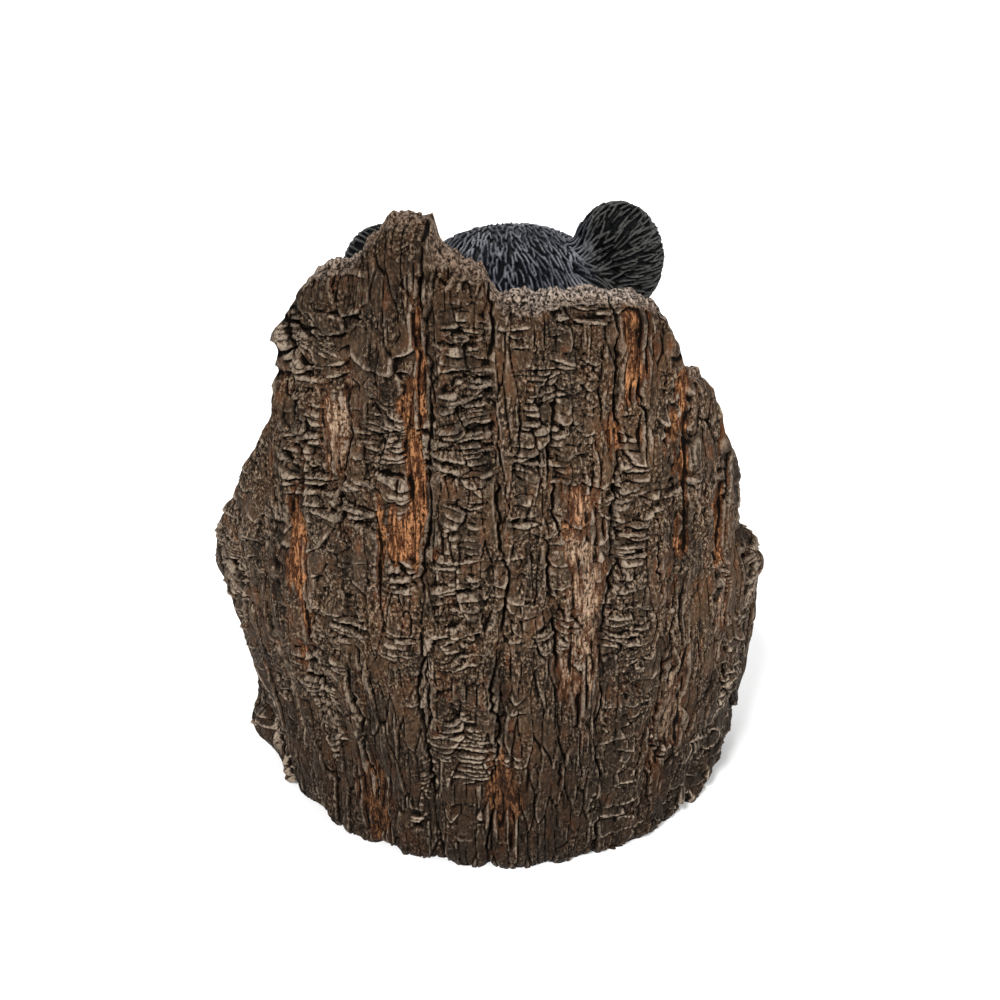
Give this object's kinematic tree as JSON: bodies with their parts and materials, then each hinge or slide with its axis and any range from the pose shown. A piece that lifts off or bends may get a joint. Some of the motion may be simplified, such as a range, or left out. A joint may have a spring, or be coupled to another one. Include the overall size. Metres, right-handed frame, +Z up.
{
  "type": "bear in stump figurine",
  "caption": "Painted resin garden figurine: a bear cub sits in a hollow, broken tree stump and looks out over its low front rim.",
  "frame": {"origin": "bottom centre of the bounding box, on the flat underside of the stump", "axes": "+Z up; the cub faces -Y over the low rim, and the tall broken rim is at its back, on +Y"},
  "size_m": [0.241, 0.2276, 0.3],
  "materials": {
    "bark": "cast resin painted as bark: dark brown with grey dry-brushed edges and orange-brown bare wood",
    "fur": "cast resin painted black, its carved fur dry-brushed blue-grey"
  },
  "bodies": {
    "root": {"stump": "bark", "bear": "fur"}
  },
  "joints": []
}
